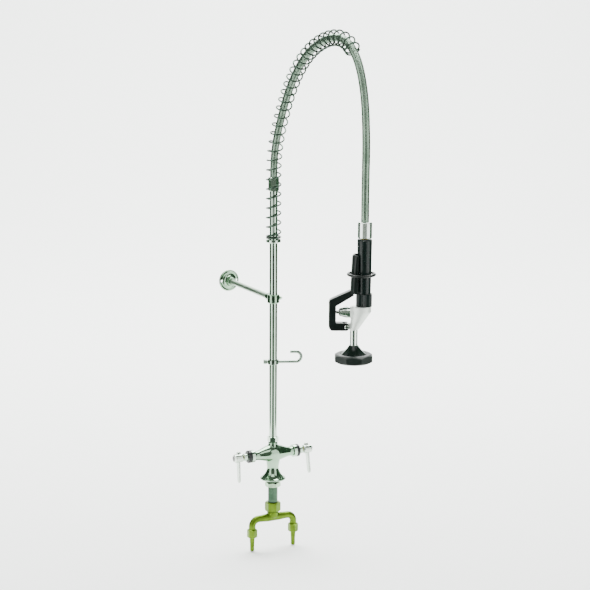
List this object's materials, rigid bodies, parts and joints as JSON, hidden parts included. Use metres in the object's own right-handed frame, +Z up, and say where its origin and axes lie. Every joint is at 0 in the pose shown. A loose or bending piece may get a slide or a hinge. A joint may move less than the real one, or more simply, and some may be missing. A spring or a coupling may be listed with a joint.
{
  "type": "pre rinse faucet",
  "caption": "Deck-mounted pre-rinse faucet with two lever valves, a riser with wall bracket, an overhead spring and hose, and a squeeze-lever spray valve.",
  "frame": {"origin": "centre of the base flange's underside, where it sits on the deck", "axes": "+Z up the riser, -X towards the hot valve, -Y towards the user, +Y towards the wall"},
  "size_m": [0.188, 0.6506, 1.1454],
  "materials": {
    "cast_chrome": "polished chrome plate on cast brass",
    "tube_chrome": "polished chrome plate on brass tube",
    "lever_chrome": "bright chrome plate on die-cast zinc",
    "satin_shank": "satin plate on brass pipe",
    "spring_steel": "drawn stainless spring wire",
    "hose_braid": "interlocked stainless steel hose cover",
    "raw_brass": "unplated brass",
    "valve_ceramic": "lapped white ceramic",
    "black_plastic": "moulded black plastic with a soft sheen",
    "black_rubber": "matt black rubber"
  },
  "bodies": {
    "faucet": {"bracket_clamp": "cast_chrome", "bracket_rod": "tube_chrome", "check_poppets": "black_plastic", "check_unions": "raw_brass", "clamp_screw": "tube_chrome", "cold_bonnet": "cast_chrome", "cold_bonnet_ring": "black_plastic", "cold_fixed_disc": "valve_ceramic", "coupling_nut": "raw_brass", "deck_gasket": "black_rubber", "faucet_body": "cast_chrome", "hot_bonnet": "cast_chrome", "hot_bonnet_ring": "black_plastic", "hot_fixed_disc": "valve_ceramic", "inlet_tips": "raw_brass", "inner_tube": "raw_brass", "lock_nut": "cast_chrome", "riser": "tube_chrome", "riser_nut": "cast_chrome", "set_screws": "tube_chrome", "shank": "satin_shank", "spring_collar": "cast_chrome", "supply_tee": "raw_brass", "tube_o_rings": "black_rubber", "wall_flange": "cast_chrome"},
    "hot_handle": {"hot_turning_disc": "valve_ceramic", "hot_stem": "raw_brass", "hot_stem_o_ring": "black_rubber", "hot_lever": "lever_chrome", "hot_lever_screw": "tube_chrome", "hot_index_button": "cast_chrome"},
    "cold_handle": {"cold_turning_disc": "valve_ceramic", "cold_stem": "raw_brass", "cold_stem_o_ring": "black_rubber", "cold_lever": "lever_chrome", "cold_lever_screw": "tube_chrome", "cold_index_button": "cast_chrome"},
    "hook": {"finger_hook": "tube_chrome", "hook_thumb_screw": "tube_chrome"},
    "overhead": {"hose_nut": "tube_chrome", "hose": "hose_braid", "spring": "spring_steel", "hose_ferrule": "tube_chrome"},
    "spray_valve": {"grip_tube": "raw_brass", "grip_sleeve": "black_plastic", "grip_collar": "black_plastic", "valve_body": "cast_chrome", "valve_seat": "raw_brass", "stem_bonnet": "cast_chrome", "return_spring": "spring_steel", "outlet_tube": "tube_chrome", "spray_head": "black_plastic", "spray_face": "tube_chrome", "spray_bumper": "black_rubber", "lever_pivot_screw": "tube_chrome"},
    "lever": {"squeeze_lever": "black_plastic"},
    "plunger": {"valve_stem": "raw_brass", "stem_washer": "black_rubber"},
    "open_ring": {"hold_ring": "black_plastic"}
  },
  "joints": [
    {"name": "hot_valve_turn", "type": "hinge", "parent": "faucet", "child": "hot_handle", "pos_m": [-0.082, 0, 0.057], "axis": [-1, 0, 0], "range_deg": [0, 90]},
    {"name": "cold_valve_turn", "type": "hinge", "parent": "faucet", "child": "cold_handle", "pos_m": [0.082, 0, 0.057], "axis": [-1, 0, 0], "range_deg": [0, 90]},
    {"name": "hook_slide", "type": "slide", "parent": "faucet", "child": "hook", "axis": [0, 0, 1], "range_m": [-0.15, 0.1]},
    {"name": "overhead_swing", "type": "hinge", "parent": "faucet", "child": "overhead", "pos_m": [0, 0, 0.645], "axis": [0, 0, 1], "range_deg": [-110, 110]},
    {"name": "valve_swivel", "type": "hinge", "parent": "overhead", "child": "spray_valve", "pos_m": [0, -0.395, 0.6], "axis": [0, 0, 1], "continuous": true},
    {"name": "lever_squeeze", "type": "hinge", "parent": "spray_valve", "child": "lever", "pos_m": [-0.02971, -0.37973, 0.419], "axis": [0.4571, 0.8894, 0], "range_deg": [0, 2.2], "stiffness_Nm_per_rad": 1.5, "springref_deg": -17.19},
    {"name": "stem_push", "type": "slide", "parent": "spray_valve", "child": "plunger", "axis": [0.8894, -0.4571, 0], "range_m": [0, 0.0011]},
    {"name": "ring_lift", "type": "slide", "parent": "spray_valve", "child": "open_ring", "axis": [0, 0, 1], "range_m": [0, 0.05]}
  ],
  "couplings": [
    {"joint": "stem_push", "follows": "lever_squeeze", "m_per_rad": 0.028}
  ]
}
